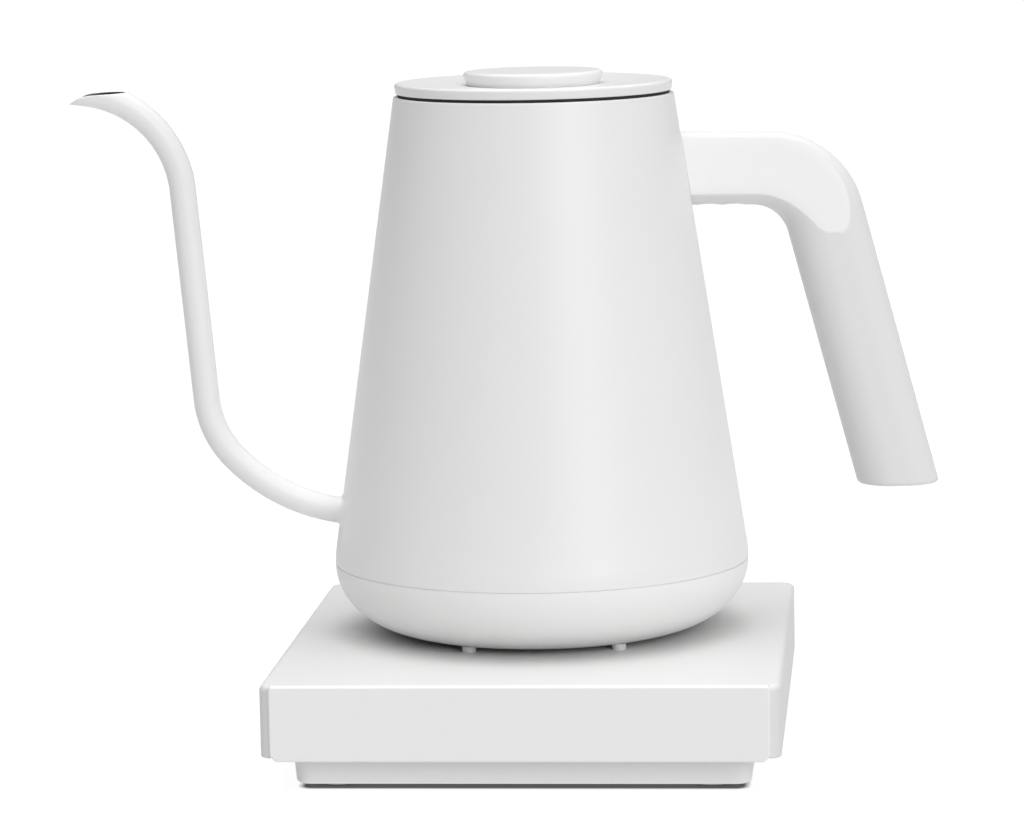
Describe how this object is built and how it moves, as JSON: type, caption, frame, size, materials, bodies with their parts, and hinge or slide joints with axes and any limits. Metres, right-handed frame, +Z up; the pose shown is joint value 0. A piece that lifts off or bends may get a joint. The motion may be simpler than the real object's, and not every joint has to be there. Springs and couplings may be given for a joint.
{
  "type": "electric gooseneck kettle",
  "caption": "Electric pour-over kettle with a slim swan-neck spout, side handle and flat lid, lifting off and turning on a square power base.",
  "frame": {"origin": "on the table under the swivel axis of the kettle, which is 9 mm behind the middle of the base", "axes": "+Z up along the swivel axis, -Y to the front of the base, +X to the handle side"},
  "size_m": [0.2926, 0.1925, 0.2292],
  "materials": {
    "white_coat": "fine satin powder coat",
    "white_plastic": "fine matt moulding",
    "grey_plastic": "plain moulding",
    "dark_plastic": "plain moulding",
    "bright_steel": "drawn steel",
    "aluminium": "plain",
    "contact_brass": "plated contact",
    "dark_rubber": "silicone",
    "grey_rubber": "silicone",
    "circuit_board": "solder resist",
    "wire_cover": "wire insulation"
  },
  "bodies": {
    "base": {"base_cover": "white_plastic", "front_panel": "white_plastic", "base_tray": "white_plastic", "rubber_feet": "grey_rubber", "base_screws": "bright_steel", "coupler_pillar": "dark_plastic", "pillar_contacts": "contact_brass", "pillar_screws": "bright_steel", "power_board": "circuit_board", "board_screws": "bright_steel", "relay": "dark_plastic", "filter_capacitor": "grey_plastic", "heat_sink": "aluminium", "triac": "dark_plastic", "terminal_block": "grey_plastic", "cord_gland": "dark_rubber", "base_wiring": "wire_cover", "display_board": "circuit_board", "display_block": "dark_plastic", "touch_springs": "contact_brass", "buzzer": "dark_plastic"},
    "coupler": {"kettle_socket": "dark_plastic", "socket_contacts": "contact_brass"},
    "kettle": {"kettle_shell": "white_coat", "spout": "white_coat", "handle_mount": "bright_steel", "handle_bar": "white_plastic", "handle_screws": "bright_steel", "handle_plugs": "white_plastic", "handle_end_cap": "white_plastic", "bottom_cover": "white_plastic", "bottom_screws": "bright_steel", "kettle_feet": "white_plastic", "heater_plate": "bright_steel", "heat_spreader": "aluminium", "heating_element": "bright_steel", "water_probe": "bright_steel", "probe_seal": "dark_rubber", "thermal_fuse": "contact_brass", "kettle_wiring": "wire_cover"},
    "lid": {"lid_disc": "white_coat", "lid_knob": "white_coat", "lid_plug": "grey_plastic", "lid_gasket": "dark_rubber", "lid_screw": "bright_steel"}
  },
  "joints": [
    {"name": "kettle_lift", "type": "slide", "parent": "base", "child": "coupler", "axis": [0, 0, 1], "range_m": [0, 0.06]},
    {"name": "kettle_swivel", "type": "hinge", "parent": "coupler", "child": "kettle", "pos_m": [0, 0, 0], "axis": [0, 0, 1], "continuous": true},
    {"name": "lid_lift", "type": "slide", "parent": "kettle", "child": "lid", "axis": [0, 0, 1], "range_m": [0, 0.04]}
  ]
}
